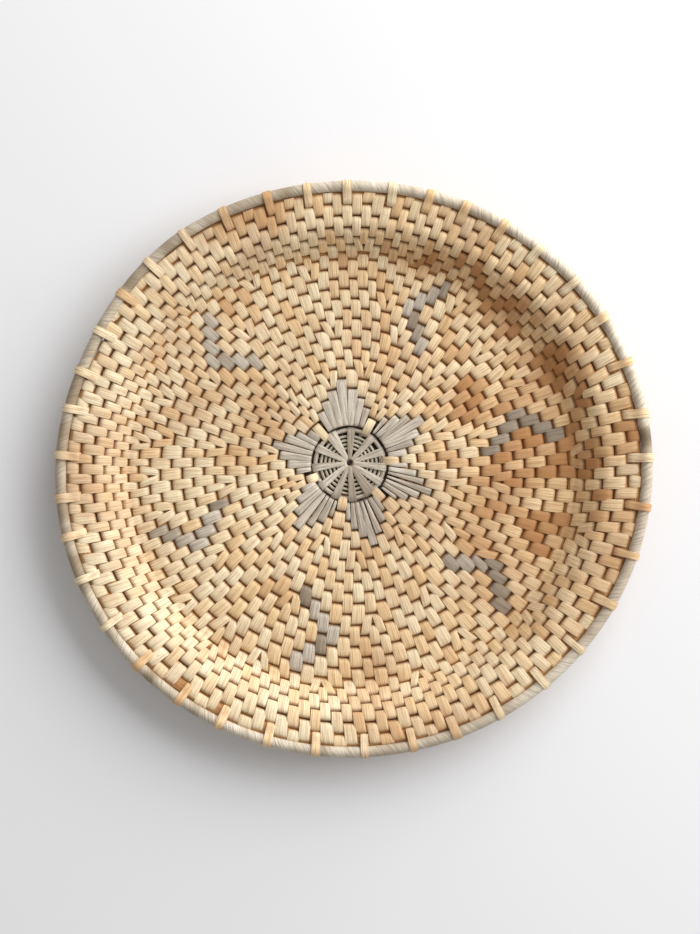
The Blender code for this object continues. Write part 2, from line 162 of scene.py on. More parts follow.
def smooth(share):
    """Ease shares from 0 to 1, flat at both ends."""
    share = np.clip(share, 0.0, 1.0)
    return share * share * (3.0 - 2.0 * share)


def pitch_at(turn):
    """Width of a row along the basket's wall."""
    middle = smooth((turn - CENTRE_ROWS) / ROW_BLEND)
    outer = smooth((turn - BASE_ROWS - WALL_ROWS) / ROW_BLEND)
    pitch = CENTRE_PITCH + (BASE_PITCH - CENTRE_PITCH) * middle
    return pitch + (LIP_PITCH - BASE_PITCH) * outer


def slope_at(turn):
    """Slope of the basket's profile in radians."""
    rising = smooth((turn - BASE_ROWS) / ROW_BLEND)
    easing = smooth((turn - BASE_ROWS - WALL_ROWS) / ROW_BLEND)
    return np.radians(WALL_SLOPE * rising + (LIP_SLOPE - WALL_SLOPE) * easing)


PROFILE_STEP = 1.0 / POINTS_PER_LOOP
PROFILE_TURNS = np.arange(0.0, ROWS + 2.0, PROFILE_STEP)
PROFILE_MIDDLES = PROFILE_TURNS[:-1] + PROFILE_STEP / 2
STEP_WIDTHS = pitch_at(PROFILE_MIDDLES) * PROFILE_STEP
STEP_SLOPES = slope_at(PROFILE_MIDDLES)
PROFILE_RADII = np.concatenate([[0.0], np.cumsum(STEP_WIDTHS * np.cos(STEP_SLOPES))]) + ROW_EDGE
PROFILE_HEIGHTS = np.concatenate([[0.0], np.cumsum(STEP_WIDTHS * np.sin(STEP_SLOPES))])


def plain_line(turn):
    """Radius and height of the line between rows, before the coil's end thins."""
    radius = np.interp(turn, PROFILE_TURNS, PROFILE_RADII) + np.minimum(turn, 0.0) * CENTRE_PITCH
    return radius, np.interp(turn, PROFILE_TURNS, PROFILE_HEIGHTS)


def line_at(turn):
    """Radius and height of the line between rows, thinned where the coil runs out."""
    turn = np.asarray(turn, float)
    radius, height = plain_line(turn)
    inner_radius, inner_height = plain_line(turn - 1.0)
    left = 1.0 - smooth((turn - 1.0 - ROWS) / END_TAPER_TURNS + 1.0)
    return (
        inner_radius + (radius - inner_radius) * left,
        inner_height + (height - inner_height) * left,
    )


BASE_RADIUS = float(plain_line(BASE_ROWS)[0])
BOWL_RADIUS = float(plain_line(ROWS)[0])


def angle_of(turn):
    """Angle that the coil has reached at a turn."""
    return math.radians(COIL_START_ANGLE) + turn * math.tau


def turn_fraction(angle):
    """Share of a turn by which an angle lies past the coil's start."""
    return ((angle - math.radians(COIL_START_ANGLE)) / math.tau) % 1.0


def spread(angle, radius):
    """Radius on the real, slightly lopsided tray for a radius on a round one."""
    inner = np.minimum(radius / BASE_RADIUS, 1.0)
    outer = (radius / BOWL_RADIUS) ** 2
    offset = EYE_OFFSET_X * np.cos(angle) - EYE_OFFSET_Y * np.sin(angle)
    oval = OVAL_ALONG * np.cos(2 * angle) + OVAL_ASLANT * np.sin(2 * angle)
    return radius + inner * offset + outer * oval


def rim_round(angle):
    """Radius and height of the rim ring's middle on a round tray."""
    radius, height = line_at(ROWS + turn_fraction(angle))
    slope = math.radians(LIP_SLOPE)
    step = RIM_RADIUS + CLEARANCE
    return radius + step * math.cos(slope), height + step * math.sin(slope) + RIM_RISE + COIL_MIDDLE


def tray_middle():
    """Middle of the tray seen from above, measured from the eye."""
    angles = np.radians(COIL_START_ANGLE) + np.arange(48) * math.tau / 48
    radii = spread(angles, rim_round(angles)[0])
    across = radii * np.cos(angles)
    along = radii * np.sin(angles)
    return (across.min() + across.max()) / 2, (along.min() + along.max()) / 2


MIDDLE = tray_middle()


def place(angle, radius, height):
    """Points of the tray, with the origin in its middle."""
    real = spread(angle, radius)
    across = real * np.cos(angle) - MIDDLE[0]
    along = real * np.sin(angle) - MIDDLE[1]
    return np.stack(np.broadcast_arrays(across, along, height), axis=-1)


def basket_points(turn, angle, rise):
    """Points at a line turn and an angle, raised square to the basket's wall."""
    radius, height = line_at(turn)
    slope = slope_at(turn)
    return place(
        angle,
        radius - rise * np.sin(slope),
        height + COIL_MIDDLE + rise * np.cos(slope),
    )


def back_share(turn):
    """How far the back stands off the coil's middle, as a share of the face."""
    return BACK_SHARE + (1.0 - BACK_SHARE) * smooth((turn - 18.0) / 1.5)


# Blanks: straight pieces that get bent to the basket.


def start_shape():
    """Leave nothing selected before a new shape is added."""
    if bpy.context.object and bpy.context.object.mode != "OBJECT":
        bpy.ops.object.mode_set(mode="OBJECT")
    bpy.ops.object.select_all(action="DESELECT")


def coordinates(mesh):
    """Vertex places of a mesh as an array."""
    flat = np.empty(len(mesh.vertices) * 3)
    mesh.vertices.foreach_get("co", flat)
    return flat.reshape(-1, 3)


def set_coordinates(mesh, places):
    """Write vertex places to a mesh."""
    mesh.vertices.foreach_set("co", np.asarray(places, float).ravel())
    mesh.update()


def strip_blank(cuts):
    """Straight splint: 0 to 1 along x, -1 to 1 across y, crowned from 0 to 1 in z."""
    start_shape()
    bpy.ops.mesh.primitive_cylinder_add(vertices=6, radius=1, depth=1, rotation=(0, math.pi / 2, 0))
    item = bpy.context.object
    bpy.ops.object.transform_apply()
    bpy.ops.object.mode_set(mode="EDIT")
    bpy.ops.mesh.select_mode(type="EDGE")
    bpy.ops.mesh.select_all(action="DESELECT")
    bpy.ops.object.mode_set(mode="OBJECT")
    places = coordinates(item.data)
    for edge in item.data.edges:
        first, second = edge.vertices
        edge.select = bool(abs(places[first][0] - places[second][0]) > 0.5)
    bpy.ops.object.mode_set(mode="EDIT")
    bpy.ops.mesh.subdivide(number_cuts=cuts)
    bpy.ops.mesh.select_all(action="SELECT")
    bpy.ops.mesh.normals_make_consistent(inside=False)
    bpy.ops.object.mode_set(mode="OBJECT")
    places = coordinates(item.data)
    low, high = places.min(axis=0), places.max(axis=0)
    share = (places - low) / (high - low)
    upright = 2 if high[2] - low[2] < high[1] - low[1] else 1
    tall = share[:, upright]
    side = np.sign(share[:, 3 - upright] - 0.5)
    across = np.select([tall > 0.9, tall > 0.1], [0.52 * side, 1.0 * side], 0.94 * side)
    height = np.select([tall > 0.9, tall > 0.1], [1.0, 0.68], 0.0)
    places = np.stack([share[:, 0], across, height], axis=1)
    faces = [tuple(face.vertices) for face in item.data.polygons]
    data = item.data
    bpy.data.objects.remove(item)
    bpy.data.meshes.remove(data)
    return places, outward_faces(places, faces)


def outward_faces(places, faces):
    """Faces of a closed blank, turned over if its volume comes out negative."""
    volume = 0.0
    for face in faces:
        first = places[face[0]]
        for second, third in zip(face[1:], face[2:]):
            volume += np.dot(first, np.cross(places[second], places[third]))
    return faces if volume > 0 else [face[::-1] for face in faces]


def joined_mesh(name, blank, copies):
    """One mesh of bent copies of a blank, with its strand map and tint."""
    places, faces = blank
    points, strand, looks = (np.concatenate(parts) for parts in zip(*copies))
    polygons = []
    for offset in range(0, len(points), len(places)):
        polygons += [tuple(corner + offset for corner in face) for face in faces]
    mesh = bpy.data.meshes.new(name)
    mesh.from_pydata(points.tolist(), [], polygons)
    write_maps(mesh, strand, looks)
    mesh.update()
    return mesh


def write_maps(mesh, strand, looks):
    """Give each point of a mesh its place on the strand and its looks."""
    corners = np.empty(len(mesh.loops), int)
    mesh.loops.foreach_get("vertex_index", corners)
    while mesh.uv_layers:
        mesh.uv_layers.remove(mesh.uv_layers[0])
    layer = mesh.uv_layers.new(name="strand")
    layer.data.foreach_set("uv", strand[corners].ravel())
    attribute = mesh.attributes.new("looks", "FLOAT_COLOR", "POINT")
    attribute.data.foreach_set("color", looks.ravel())


def bent_copy(points, share, side, across, length, tint, dark, seed):
    """Points of a bent strip, their places on the strand, and their looks."""
    strand = np.stack([share * length * 1000, across * 1000], axis=1) + np.multiply(GRAIN_SHIFT, seed)
    looks = np.stack(np.broadcast_arrays(tint, dark, np.abs(side), seed), axis=1)
    return points, strand, looks


def strip_copy(blank, stitch, back=False):
    """A stitch's blank, bent over its two rows on the face or on the back."""
    share, across, crown = blank[0].T
    turns, rise, end = stitch_profile(share, stitch)
    middle = stitch["inner"] + (stitch["outer"] - stitch["inner"]) * (share - 0.25) * 2
    radius = np.maximum(line_at(turns)[0], START_COIL_BORE)
    half = stitch["half_inner"] + (stitch["half_outer"] - stitch["half_inner"]) * share
    half = np.minimum(half * radius, stitch["cap"]) - stitch["gap"]
    half = half * (1.0 - END_NARROWING * end**3)
    side = -across if back else across
    angle = middle + side * half / radius
    height = rise + SPLINT_THICKNESS * crown + stitch["lift"] - STITCH_CUP * across**2
    if back:
        height = -height * back_share(turns)
    points = basket_points(turns, angle, height)
    points[:, 2] = np.maximum(points[:, 2], LEAST_HEIGHT)
    length = line_at(stitch["to"])[0] - line_at(stitch["from"])[0] + 0.001
    # The browner spots and the painted shade and painted light of whole sides shift the stitch's tint.
    spots_and_shade = spots_and_painted_light_at(float(middle.mean()), float(radius.mean()))
    tint = min(max(stitch["tint"] + spots_and_shade, 0.0), 1.0)
    # The nearness to the ends is the mask of painted shade at the stitch ends.
    return bent_copy(points, share, across, across * half, length, tint, end, stitch["seed"])


# Browner spots: angle in degrees, radius and size in metres, strength.
BROWNER_SPOTS = (
    (49, 0.135, 0.012, 0.55), (69, 0.140, 0.012, 0.5), (57, 0.146, 0.011, 0.35), (24, 0.144, 0.011, 0.45),
    (88, 0.130, 0.011, 0.35), (29, 0.083, 0.010, 0.45), (338, 0.129, 0.013, 0.4), (359, 0.141, 0.013, 0.3),
    (7, 0.102, 0.010, 0.4), (244, 0.098, 0.015, 0.4), (126, 0.131, 0.010, 0.3), (6, 0.171, 0.010, 0.7),
)

# Painted shade and painted light on whole sides: browner on the right, away from the light, and paler on the
# lit left wall; angle, radius and width in metres, strength.
PAINTED_LIGHT_SIDES = ((24, 0.139, 0.020, 0.42), (2, 0.106, 0.040, 0.40), (188, 0.158, 0.028, -0.40))


def spots_and_painted_light_at(angle, radius):
    """How much browner a place is drawn than the rest: browner spots, plus painted shade on the side away
    from the light and painted light on the lit side.
    """
    total = 0.0
    # Painted shade on the side away from the light, painted light on the lit side.
    for degrees, middle, width, strength in PAINTED_LIGHT_SIDES:
        side = max(math.cos(angle - math.radians(degrees)), 0.0) ** 2
        total += strength * side * math.exp(-(((radius - middle) / width) ** 2))
    for degrees, middle, size, strength in BROWNER_SPOTS:
        distance = math.hypot(wrapped(angle - math.radians(degrees)) * radius, radius - middle)
        total += strength * math.exp(-((distance / size) ** 2))
    return total


# Where a strip's cuts lie along it.
STATIONS = np.array([0.0, 0.05, 0.14, 0.30, 0.62, 1.0, 1.38, 1.70, 1.86, 1.95, 2.0]) / 2


def stitch_profile(share, stitch):
    """Line turn, rise over the coil and nearness to an end, along a stitch."""
    knots = np.linspace(0.0, 1.0, len(STATIONS))
    rows = stitch["to"] - stitch["from"]
    even = np.interp(share, knots, STATIONS)
    turns = stitch["from"] + rows * even
    near = np.minimum(even, 1.0 - even) * rows
    rounding = np.clip(1.0 - near / END_ROUND, 0.0, 1.0)
    dome = np.sqrt(np.clip(1.0 - rounding**2, 0.0, 1.0))
    rise = STITCH_END_RISE + (STITCH_RISE - STITCH_END_RISE) * dome
    sag = STITCH_SAG * np.cos((even - 0.5) * math.tau * rows / 2) * (rounding <= 0.0)
    lowering = START_LOWERING * smooth((0.35 - turns) / 0.7)
    arch = STITCH_ARCH * (2.0 * even - 1.0) ** 2 * (rows < 2.5)
    return turns, rise - sag - arch - lowering, rounding


# Stitches of the face, row by row as they are sewn.


def new_stitch(turn, inner, outer, half_inner, half_outer, **extra):
    """Facts of one stitch; angles in radians, turns along the spiral."""
    stitch = {
        "turn": turn,
        "inner": inner,
        "outer": outer,
        "half_inner": half_inner,
        "half_outer": half_outer,
        "from": turn - 1.0 + END_MARGIN,
        "to": turn + 1.0 - END_MARGIN,
        "cap": HALF_WIDTH_CAP,
        "gap": SIDE_GAP,
        "lift": RANDOM.uniform(*STITCH_LIFTS),
        "tint": TINT_REACH * RANDOM.random() ** TINT_POWER,
        "seed": RANDOM.random(),
        "share": RANDOM.uniform(*OUTER_SHARES),
        "kind": "field",
    }
    stitch.update(extra)
    return stitch


def lean_at(angle, turn):
    """Angle by which a stitch leans along its length."""
    degrees = LEAN + LEAN_SWING * math.cos(angle - math.radians(LEAN_AT)) + RANDOM.normal(0.0, LEAN_SPREAD)
    return math.tan(math.radians(degrees)) * BASE_PITCH / float(line_at(turn)[0])


def centre_stitch(stitch, middle):
    """Set a stitch's turn and ends from the angle of its middle."""
    stitch["turn"] = (middle - math.radians(COIL_START_ANGLE)) / math.tau
    stitch["from"] = stitch["turn"] - 1.0 + END_MARGIN
    stitch["to"] = stitch["turn"] + 1.0 - END_MARGIN


def petal_stitches():
    """Strips of the six petals, and the first field stitches beyond their tips."""
    stitches = []
    for number, (centre, half) in enumerate(PETAL_SPREADS, start=1):
        peak = PETAL_PEAK_TURN + turn_fraction(math.radians(centre))
        for strip in range(PETAL_STRIPS):
            shift = (strip + 0.5) / PETAL_STRIPS * 2 * half - half
            width = math.radians(half / PETAL_STRIPS)
            turn = peak - abs(strip - PETAL_STRIPS // 2) + shift / 360.0
            angle = angle_of(turn)
            wander = math.radians(RANDOM.normal(0.0, 0.35))
            outer_width = width * RANDOM.uniform(0.85, 1.1)
            petal = new_stitch(turn, angle, angle + wander, width * RANDOM.uniform(0.9, 1.1), outer_width)
            petal["from"] = PETAL_ROOT_TURN
            petal["kind"] = f"petal_{number}"
            petal["gap"] = PETAL_GAP * RANDOM.choice((-0.4, 0.2, 1.0, 2.0))
            stitches.append(petal)
            while turn + 2.0 < PETAL_PEAK_TURN + 0.99:
                turn += 2.0
                angle = angle_of(turn)
                stitches.append(new_stitch(turn, angle, angle, width, width))
    return stitches


def gap_at_starter(degrees):
    """Way from a starter to the middle of its gap between petals, and half the gap."""
    ends = [wrapped(centre + half - degrees, 360.0) for centre, half in PETAL_SPREADS]
    starts = [wrapped(centre - half - degrees, 360.0) for centre, half in PETAL_SPREADS]
    low = max(end for end in ends if end < 0.0)
    high = min(start for start in starts if start > 0.0)
    return math.radians((low + high) / 2), math.radians((high - low) / 2)


def starter_stitches():
    """The six cream stitches that cross the ring, and those beyond them."""
    stitches = []
    for degrees in STARTER_ANGLES:
        turn = turn_fraction(math.radians(degrees))
        angle = angle_of(turn)
        first = new_stitch(turn, angle, angle, STARTER_HALF, STARTER_HALF, kind="starter", cap=STARTER_CAP)
        first["from"] = STARTER_REACH
        stitches.append(first)
        shift, width = gap_at_starter(degrees)
        fan = STARTER_FAN if width > WIDE_STARTER_GAP else STARTER_COLUMN
        for step, inner, outer, half_inner, half_outer in fan:
            middle = angle_of(turn + step) + shift
            later = turn + step + (shift + outer * width) / math.tau
            stitches.append(new_stitch(
                later, middle + inner * width, middle + outer * width, half_inner * width, half_outer * width
            ))
    return stitches


def open_outer_halves(row, before):
    """Give each stitch of a turn an outer half a quarter of its spacing wide."""
    outer = with_neighbours(row, before)
    for index, stitch in enumerate(row):
        stitch["half_outer"] = (outer[index + 2] - outer[index]) / 8.0


def with_neighbours(row, before):
    """Outer angles of a turn, with those of the stitches just before and after it."""
    outer = [stitch["outer"] for stitch in row]
    return [before] + outer + [(outer[0] + outer[1]) / 2 + math.tau]


def gap_stitches(before, after, count):
    """Stitches of the next turn, sewn between two neighbours of this one."""
    start = before["outer"] + before["half_outer"]
    room = after["outer"] - after["half_outer"] - start
    stitches = []
    for number in range(count):
        inner = start + room * (number + 0.5) / count + math.tau
        push = (number - (count - 1) / 2) * room * GAP_PUSH
        turn = before["turn"] + (inner - math.tau - before["outer"]) / math.tau + 1.0
        outer = inner + push + lean_at(inner, turn)
        half = room / count / 2.0
        below = (before, after, number, count)
        stitches.append(new_stitch(turn, inner, outer, half, half, below=below))
    return stitches


def next_row(row, wanted):
    """The stitches of the next turn; the widest gaps get two until there are enough."""
    turn = row[0]["turn"] + 1.0
    gaps = np.diff(spacing_scale([stitch["outer"] for stitch in row], turn))
    room = gaps + 0.5 * (np.roll(gaps, 1) + np.roll(gaps, -1))
    doubled = set()
    for index in np.argsort(-room):
        if len(row) + len(doubled) >= wanted:
            break
        if not doubled & set(range(index - DOUBLE_STEP, index + DOUBLE_STEP + 1)):
            doubled.add(int(index))
    following = []
    for index in range(len(gaps)):
        following += gap_stitches(row[index], row[index + 1], 2 if index in doubled else 1)
    following += gap_stitches(row[-1], following[0], 1)
    even_out(following, row[-1]["outer"], turn)
    return following


def close_row(row, before):
    """Fix a turn's stitches once they have been moved for the pattern."""
    for stitch in row:
        centre_stitch(stitch, (stitch["inner"] + stitch["outer"]) / 2)
    open_outer_halves(row, before)


def even_out(row, before, turn):
    """Ease the spacing of a turn's stitches."""
    for _ in range(2):
        scale = spacing_scale(with_neighbours(row, before), turn)
        middles = (scale[:-2] + scale[2:]) / 2
        eased = scale[1:-1] + 0.25 * (middles - scale[1:-1])
        for stitch, angle in zip(row, spacing_angles(eased, turn)):
            stitch["outer"] = float(angle)


def column_knots(turn):
    """Angles round the tray against evenly sewn columns, closer where the lashings are."""
    follow = float(smooth((turn - 7.0) / 9.0))
    angles = np.radians(LASHING_ANGLES)
    count = len(angles)
    knots = np.concatenate([angles, angles[:1] + math.tau])
    columns = 2.0 * np.arange(count + 1)
    even = (knots - knots[0]) / math.tau * LIP_STITCHES
    return knots, even + (columns - even) * follow


def spacing_scale(angles, turn):
    """Column places of angles that may go round several times."""
    knots, columns = column_knots(turn)
    angles = np.asarray(angles)
    rounds = np.floor((angles - knots[0]) / math.tau)
    return np.interp(angles - rounds * math.tau, knots, columns) + rounds * LIP_STITCHES


def spacing_angles(scale, turn):
    """Angles of column places, the other way round from spacing_scale."""
    knots, columns = column_knots(turn)
    rounds = np.floor(scale / LIP_STITCHES)
    return np.interp(scale - rounds * LIP_STITCHES, columns, knots) + rounds * math.tau


def snap_to_figures(row):
    """Move the stitches that belong to a figure to its places."""
    for steps in FIGURES:
        before = [(turn, steps[0], share) for turn, share in FIGURE_LEAD]
        exact = [(FIGURE_FIRST_TURN + step, degrees, 1.0) for step, degrees in enumerate(steps)]
        for turn, degrees, share in before + exact:
            target = angle_of(turn + turn_fraction(math.radians(degrees)))
            middles = [(stitch["inner"] + stitch["outer"]) / 2 for stitch in row]
            nearest = min(range(len(row)), key=lambda index: abs(middles[index] - target))
            if abs(middles[nearest] - target) > FIGURE_REACH:
                continue
            shift = (target - middles[nearest]) * share
            for index in range(max(nearest - 4, 0), min(nearest + 5, len(row))):
                falloff = 1.0 - abs(index - nearest) / 5.0
                row[index]["outer"] += 1.15 * shift * falloff
                row[index]["inner"] += 0.85 * shift * falloff


def lip_row(row, number, first_column):
    """Draw a turn of the upper wall or lip to the columns that the lashings leave."""
    share = LIP_SHARES[number]
    for index, stitch in enumerate(row):
        ease = 0.25 * (max(1.0 - (len(row) - 1 - index) / 6.0, 0.0) - max(1.0 - index / 6.0, 0.0))
        target = float(spacing_angles(first_column + index + ease, ROWS))
        stitch["outer"] += share * wrapped(target - stitch["outer"])


def best_column(row, parity):
    """Column at which a turn's first stitch lies nearest to the lashings' columns."""
    best = None
    for number in range(LIP_STITCHES):
        column = number + parity
        targets = spacing_angles(column + np.arange(len(row)), ROWS)
        misses = [wrapped(target - stitch["outer"]) for target, stitch in zip(targets, row)]
        total = sum(miss * miss for miss in misses)
        if best is None or total < best[0]:
            best = (total, column)
    return best[1]


def wrapped(angle, turn=math.tau):
    """Angle brought between minus and plus half a turn."""
    return (angle + turn / 2) % turn - turn / 2


LIP_SHARES = (0.25, 0.5, 0.75, 1.0, 1.0)
DOUBLE_STEP = 2
SETTLE_ROUNDS = 150
SETTLE_STEP = 0.7
UNDER_PULL = 0.4
OVER_PULL = 0.4
BESIDE_PULL = 0.2
OUTER_FOLLOW = 0.2
FIGURE_PULL = 0.1
LIP_START_ROW = ROWS - len(LIP_SHARES) + 1


def sew():
    """All stitches of the face, from the starters to the lip's edge."""
    stitches = petal_stitches() + starter_stitches()
    row = sorted(
        (stitch for stitch in stitches if stitch["turn"] >= PETAL_PEAK_TURN - 0.01),
        key=lambda stitch: stitch["turn"],
    )
    open_outer_halves(row, row[-1]["outer"] - math.tau)
    sewn = list(row)
    for _ in range(PETAL_PEAK_TURN, LIP_START_ROW - 1):
        turn = row[0]["turn"] + 1.0
        wanted = round(np.interp(turn, STITCH_COUNT_TURNS, STITCH_COUNTS))
        before = row[-1]["outer"]
        row = next_row(row, wanted)
        snap_to_figures(row)
        close_row(row, before)
        sewn += row
    for number in range(len(LIP_SHARES)):
        before = row[-1]["outer"]
        row = next_row(row, 0 if number else LIP_STITCHES)
        if number == 0:
            first_column = best_column(row, 0.0)
        lip_row(row, number, first_column + number / 2.0)
        close_row(row, before)
        for stitch in row:
            stitch["held"] = LIP_SHARES[number] == 1.0
        sewn += row
    settle(sewn)
    kept = []
    inside = [stitch for stitch in stitches if stitch["turn"] < PETAL_PEAK_TURN - 0.01]
    for stitch in inside + sewn:
        if stitch["turn"] > COIL_LAST_TURN + 1.0:
            continue
        if stitch["turn"] > COIL_LAST_TURN:
            if beside_lashing(stitch["outer"]):
                continue
            stitch["to"] = stitch["turn"] + EDGE_OVERHANG
            stitch["lift"] -= EDGE_SINK
        kept.append(stitch)
    return kept


def settle(sewn):
    """Even out the whole field at once, then lay each stitch between those under it."""
    for index, stitch in enumerate(sewn):
        stitch["index"] = index
    field = [stitch for stitch in sewn if "below" in stitch]
    first = field[0]["index"]
    below = np.array([[stitch["below"][0]["index"], stitch["below"][1]["index"]] for stitch in field])
    part = np.array([(stitch["below"][2] + 1) / (stitch["below"][3] + 1) for stitch in field])
    angles = np.array([(stitch["inner"] + stitch["outer"]) / 2 for stitch in sewn])
    held = np.array([stitch.get("held", "below" not in stitch) for stitch in sewn])
    above = neighbours_above(sewn, field)
    cells, targets = mark_figures(sewn, above, angles)
    free = np.flatnonzero(~held[first:]) + first
    free = free[free < len(sewn) - 1]
    for _ in range(SETTLE_ROUNDS):
        under = angles[below[:, 0]] + part * (angles[below[:, 1]] - angles[below[:, 0]]) + math.tau
        over = (angles[above[:, 0]] + angles[above[:, 1]]) / 2 - math.tau
        beside = (angles[free - 1] + angles[free + 1]) / 2
        wanted = UNDER_PULL * under[free - first] + OVER_PULL * over[free] + BESIDE_PULL * beside
        angles[free] += SETTLE_STEP * (wanted - angles[free])
        angles[cells] += FIGURE_PULL * (targets - angles[cells])
    lay_stitches(sewn, angles)


def neighbours_above(sewn, field):
    """For each stitch the two of the next turn that lie on both sides of it."""
    gaps = {}
    for stitch in field:
        gaps.setdefault(stitch["below"][0]["index"], []).append(stitch["index"])
    above = np.zeros((len(sewn), 2), dtype=int)
    for index in range(len(sewn)):
        left = gaps.get(index - 1, [0])[-1]
        right = gaps.get(index, [0])[0]
        above[index] = (left or right, right or left)
    return above


def mark_figures(sewn, above, angles):
    """Choose the grey cells, each beside the one before; gives them and their places."""
    cells = []
    targets = []
    for number, steps in enumerate(FIGURES, start=1):
        cell = None
        for step, degrees in enumerate(steps):
            turn = FIGURE_FIRST_TURN + step + turn_fraction(math.radians(degrees))
            target = angle_of(turn)
            if cell is None:
                cell = int(np.argmin(np.abs(angles - target)))
            else:
                outward = degrees > steps[step - 1]
                cell = int(above[cell][1 if outward else 0])
            sewn[cell]["kind"] = f"figure_{number}"
            sewn[cell]["tint"] += FIGURE_DARKER
            cells.append(cell)
            targets.append(target)
    return np.array(cells), np.array(targets)


def lay_stitches(sewn, angles):
    """Inner ends between the stitches below, outer ends on from there."""
    for index, stitch in enumerate(sewn):
        if "below" not in stitch:
            continue
        before, after, number, count = stitch["below"]
        for under in (before, after):
            if "below" in under:
                widen_outer_half(sewn, under["index"])
        start = before["outer"] + before["half_outer"]
        room = after["outer"] - after["half_outer"] - start
        middle = float(angles[index])
        stitch["inner"] = start + room * (number + 0.5) / count + math.tau
        stitch["outer"] = middle + OUTER_FOLLOW * (middle - stitch["inner"])
        stitch["half_inner"] = room / count / 2.0
        centre_stitch(stitch, middle)
    for index, stitch in enumerate(sewn[:-1]):
        if "below" in stitch:
            widen_outer_half(sewn, index)


def widen_outer_half(sewn, index):
    """Give a stitch its own share of the way between its two neighbours."""
    spacing = (sewn[index + 1]["outer"] - sewn[index - 1]["outer"]) / 2
    sewn[index]["half_outer"] = spacing * sewn[index]["share"]


def beside_lashing(angle):
    """Whether a lashing covers an angle."""
    near = min(abs(wrapped(math.radians(degrees) - angle)) for degrees in LASHING_ANGLES)
    return near < LASHING_COVER


# Long wound pieces, rolled up from a flat grid.

CORE_POINTS = 72
CORE_SIDES = 12
CORE_FILL = 1.02
CORE_FACE_SHARE = 0.8
CORE_EDGE_SWELL = 0.0007
CORE_DARK_TURN = 1.6
CORE_DARK_FADE = CORE_DARK_TURN / 1.7
LOOP_RADIUS = 0.00086
RIM_WRAPS = 960
RIM_FULLNESS = 1.01
WRAP_SLANT = 0.5
RIM_STAIN_ANGLE = 5.0
# Side of the rim that gets painted shade, in degrees.
RIM_SHADED_SIDE_ANGLE = 170.0
RIM_STEPS_PER_WRAP = 3
RIM_SIDES = 12
WRAP_GROOVE = 0.05


def sheet(name, along, around):
    """Flat grid with its shares along and around, ready to be rolled."""
    start_shape()
    bpy.ops.mesh.primitive_grid_add(x_subdivisions=along, y_subdivisions=around, size=1)
    item = bpy.context.object
    item.name = name
    item.data.name = name
    shares = coordinates(item.data)[:, :2] + 0.5
    return item, shares[:, 0], shares[:, 1]


def roll_up(item, points, along_length, around_length, tint=0.5, dark=0.0, wound=False):
    """Bend a grid to its points, close its seam and ends, and map its strand."""
    mesh = item.data
    shares = coordinates(mesh)[:, :2] + 0.5
    set_coordinates(mesh, points)
    strand = shares * (along_length * 1000, around_length * 1000)
    if wound:
        strand = strand[:, ::-1] + strand[:, 1:] * (0.0, WRAP_SLANT)
    looks = np.tile((0.0, 0.0, 0.0, 0.5), (len(shares), 1))
    looks[:, 0] = tint
    looks[:, 1] = dark
    write_maps(mesh, strand, looks)
    bpy.ops.object.mode_set(mode="EDIT")
    bpy.ops.mesh.select_all(action="SELECT")
    bpy.ops.mesh.remove_doubles(threshold=0.000002)
    bpy.ops.mesh.fill_holes(sides=0)
    bpy.ops.mesh.select_all(action="SELECT")
    bpy.ops.mesh.normals_make_consistent(inside=False)
    bpy.ops.object.mode_set(mode="OBJECT")
    bpy.ops.object.shade_smooth()


def ring_frame(slope, angle):
    """Outward and upward unit vectors across a coil."""
    outward = np.stack([np.cos(angle), np.sin(angle), np.zeros_like(angle)], axis=1)
    upward = np.array([0.0, 0.0, 1.0])
    cosine = np.reshape(np.cos(slope), (-1, 1))
    sine = np.reshape(np.sin(slope), (-1, 1))
    return outward * cosine + upward * sine, upward * cosine - outward * sine


def tube_points(middle, slope, angle, around, radius):
    """Points round the middle line of a coil."""
    outward, upward = ring_frame(slope, angle)
    turned = around * math.tau
    circle = outward * np.cos(turned)[:, None] + upward * np.sin(turned)[:, None]
    return middle + circle * np.reshape(radius, (-1, 1))


def make_core(name, node, first, last, material):
    """A length of the long grass coil inside the stitches."""
    steps = round((last - first) * CORE_POINTS)
    item, along, around = sheet(name, steps, CORE_SIDES)
    turn = first + (last - first) * along
    angle = angle_of(turn)
    inner = place(angle, *line_at(np.maximum(turn, 0.0)))
    outer = place(angle, *line_at(turn + 1.0))
    half = np.linalg.norm(outer - inner, axis=1) / 2
    tall = CORE_RISE * np.minimum(half / (0.48 * CENTRE_PITCH), 1.0)
    middle = (inner + outer) / 2
    middle[:, 2] += COIL_MIDDLE + (CORE_RISE - tall) * 0.8
    outward, upward = ring_frame(slope_at(turn + 0.5), angle)
    turned = around * math.tau
    rise = np.sin(turned) * tall
    rise = rise * np.where(rise < 0.0, back_share(turn + 0.5), CORE_FACE_SHARE)
    reach = np.cos(turned) * half * CORE_FILL
    reach += np.maximum(np.cos(turned), 0.0) * CORE_EDGE_SWELL * (turn > ROWS - 2.0)
    points = middle + outward * reach[:, None] + upward * rise[:, None]
    # Painted shade: the core's innermost turns, near the centre, are drawn dark.
    painted_shade_inside = smooth((CORE_DARK_TURN - turn) / CORE_DARK_FADE)
    roll_up(item, points, (last - first) * math.tau * 0.1, math.tau * CORE_RISE, dark=painted_shade_inside)
    finish_piece(item, "grass_coil", material, node)


def make_start_loops(material):
    """The fine coil round the eye that shows between the spokes."""
    item, along, around = sheet("start_coil_loops", START_COIL_LOOPS * 72, 10)
    turn = along * (START_COIL_LOOPS + 0.6)
    radius = START_COIL_BORE + START_COIL_PITCH * (0.93 * turn + 0.5)
    angle = angle_of(turn)
    points = tube_points(place(angle, radius, COIL_MIDDLE), 0.0, angle, around, LOOP_RADIUS)
    roll_up(item, points, START_COIL_LOOPS * math.tau * 0.012, math.tau * LOOP_RADIUS)
    finish_piece(item, "grey_splint", material, "start_coil")


